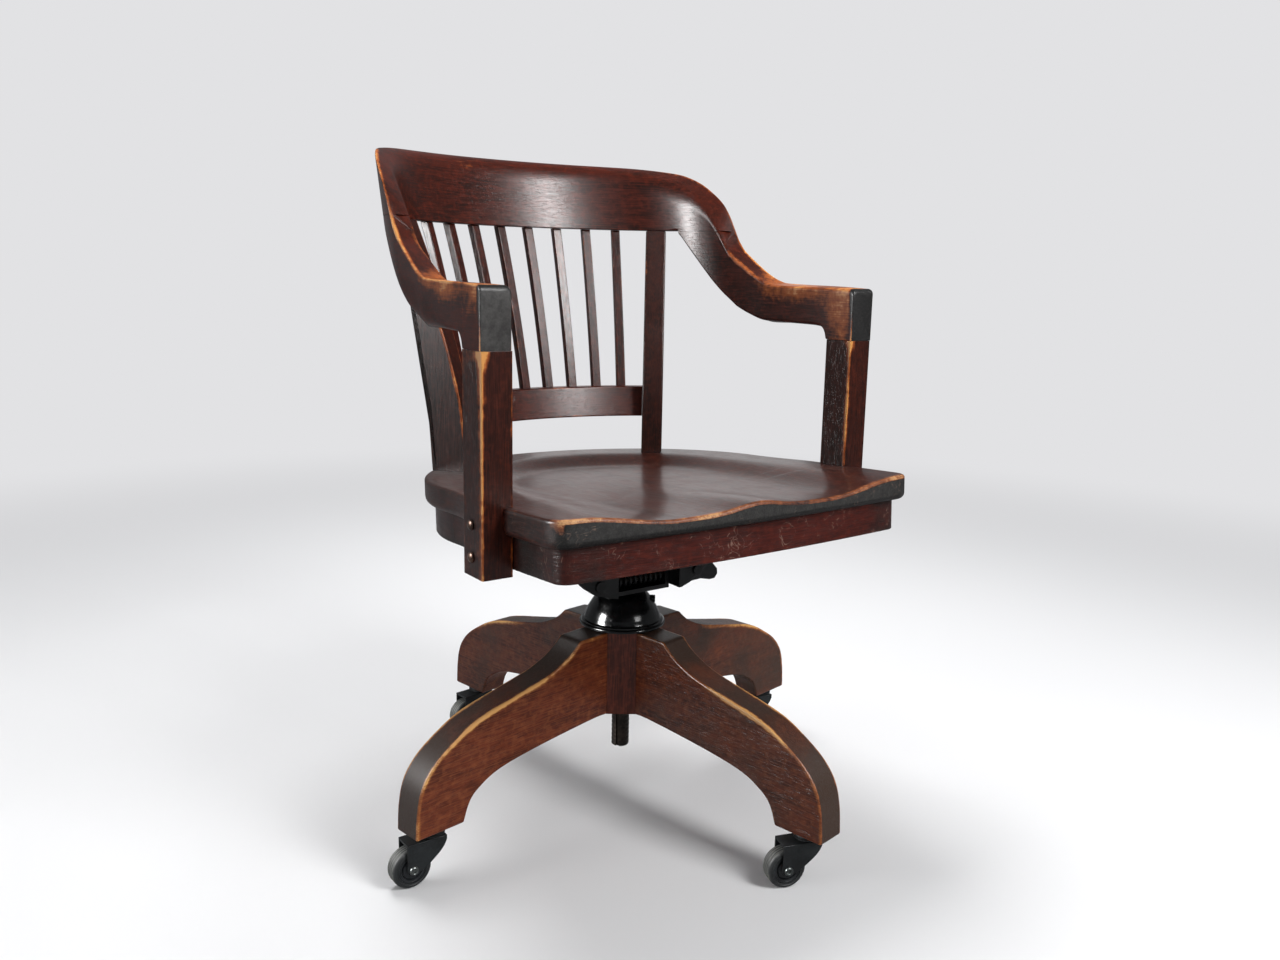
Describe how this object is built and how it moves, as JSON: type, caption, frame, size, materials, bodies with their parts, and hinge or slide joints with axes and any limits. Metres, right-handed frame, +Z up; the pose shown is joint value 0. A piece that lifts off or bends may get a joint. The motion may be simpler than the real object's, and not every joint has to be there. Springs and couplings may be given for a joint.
{
  "type": "bankers swivel chair",
  "caption": "Wooden swivel chair with a bent crest rail, slatted back, scroll-down arms, saddled seat, tilting iron and a four-legged base on casters.",
  "frame": {"origin": "floor level under the middle of the chair's bounding box", "axes": "+Z up, the sitter faces -Y, +X is the sitter's left"},
  "size_m": [0.7312, 0.715, 0.903],
  "materials": {
    "varnished_wood": "satin red-brown varnish over close-grained wood, worn to golden wood on the edges",
    "dark_wood": "darker red-brown varnish, little worn",
    "black_iron": "satin black paint over a fine cast skin",
    "dark_steel": "black oxide, lightly polished where it rubs",
    "grey_tyre": "matt grey rubber tread, scuffed",
    "black_plastic": "matt black moulded wheel centre"
  },
  "bodies": {
    "base": {"leg_front": "varnished_wood", "leg_left": "varnished_wood", "leg_back": "varnished_wood", "leg_right": "varnished_wood", "hub_block": "dark_wood", "hub_plate": "black_iron"},
    "nut": {"hub_nut": "black_iron", "dome_set_screw": "dark_steel"},
    "screw": {"spindle": "dark_steel"},
    "yoke": {"tilt_yoke": "black_iron", "tilt_pin": "dark_steel", "tilt_spring": "dark_steel"},
    "chair": {"seat": "varnished_wood", "apron_front": "dark_wood", "apron_left": "dark_wood", "apron_right": "dark_wood", "apron_back": "dark_wood", "seat_iron_left": "black_iron", "seat_iron_right": "black_iron", "iron_screw_front_left": "dark_steel", "iron_screw_back_left": "dark_steel", "iron_screw_front_right": "dark_steel", "iron_screw_back_right": "dark_steel", "arm_post_left": "varnished_wood", "arm_post_right": "varnished_wood", "post_bolt_left_1": "black_iron", "post_bolt_left_2": "black_iron", "post_bolt_right_1": "black_iron", "post_bolt_right_2": "black_iron", "arm_left": "varnished_wood", "arm_right": "varnished_wood", "crest_rail": "varnished_wood", "back_post_left": "varnished_wood", "back_post_right": "varnished_wood", "lower_back_rail": "varnished_wood", "slat_1": "varnished_wood", "slat_2": "varnished_wood", "slat_3": "varnished_wood", "slat_4": "varnished_wood", "slat_5": "varnished_wood", "slat_6": "varnished_wood", "slat_7": "varnished_wood", "slat_8": "varnished_wood"},
    "caster_front": {"caster_fork_front": "dark_steel", "caster_axle_front": "dark_steel"},
    "wheel_front": {"caster_wheel_front": "black_plastic", "caster_tyre_front": "grey_tyre"},
    "caster_left": {"caster_fork_left": "dark_steel", "caster_axle_left": "dark_steel"},
    "wheel_left": {"caster_wheel_left": "black_plastic", "caster_tyre_left": "grey_tyre"},
    "caster_back": {"caster_fork_back": "dark_steel", "caster_axle_back": "dark_steel"},
    "wheel_back": {"caster_wheel_back": "black_plastic", "caster_tyre_back": "grey_tyre"},
    "caster_right": {"caster_fork_right": "dark_steel", "caster_axle_right": "dark_steel"},
    "wheel_right": {"caster_wheel_right": "black_plastic", "caster_tyre_right": "grey_tyre"}
  },
  "joints": [
    {"name": "nut_turn", "type": "hinge", "parent": "base", "child": "nut", "pos_m": [0.00812, 0, 0.2573], "axis": [0, 0, -1], "range_deg": [0, 2830]},
    {"name": "screw_lift", "type": "slide", "parent": "base", "child": "screw", "axis": [0, 0, 1], "range_m": [0, 0.05]},
    {"name": "seat_swivel", "type": "hinge", "parent": "screw", "child": "yoke", "pos_m": [0.00812, 0, 0.3076], "axis": [0, 0, 1], "continuous": true},
    {"name": "seat_tilt", "type": "hinge", "parent": "yoke", "child": "chair", "pos_m": [0.00812, -0.028, 0.326], "axis": [-1, 0, 0], "range_deg": [0, 14], "stiffness_Nm_per_rad": 90, "springref_deg": -17.19},
    {"name": "caster_swivel_front", "type": "hinge", "parent": "base", "child": "caster_front", "pos_m": [0.06761, -0.31971, 0.0677], "axis": [0, 0, 1], "continuous": true},
    {"name": "wheel_roll_front", "type": "hinge", "parent": "caster_front", "child": "wheel_front", "pos_m": [0.04003, -0.31075, 0.025], "axis": [-0.309, -0.9511, 0], "continuous": true},
    {"name": "caster_swivel_left", "type": "hinge", "parent": "base", "child": "caster_left", "pos_m": [0.32783, 0.05949, 0.0677], "axis": [0, 0, 1], "continuous": true},
    {"name": "wheel_roll_left", "type": "hinge", "parent": "caster_left", "child": "wheel_left", "pos_m": [0.29912, 0.06352, 0.025], "axis": [-0.1392, -0.9903, 0], "continuous": true},
    {"name": "caster_swivel_back", "type": "hinge", "parent": "base", "child": "caster_back", "pos_m": [-0.05137, 0.31971, 0.0677], "axis": [0, 0, 1], "continuous": true},
    {"name": "wheel_roll_back", "type": "hinge", "parent": "caster_back", "child": "wheel_back", "pos_m": [-0.08008, 0.31568, 0.025], "axis": [0.1392, -0.9903, 0], "continuous": true},
    {"name": "caster_swivel_right", "type": "hinge", "parent": "base", "child": "caster_right", "pos_m": [-0.31159, -0.05949, 0.0677], "axis": [0, 0, 1], "continuous": true},
    {"name": "wheel_roll_right", "type": "hinge", "parent": "caster_right", "child": "wheel_right", "pos_m": [-0.34059, -0.05949, 0.025], "axis": [0, -1, 0], "continuous": true}
  ],
  "couplings": [
    {"joint": "screw_lift", "follows": "nut_turn", "m_per_rad": 0.0010106}
  ]
}
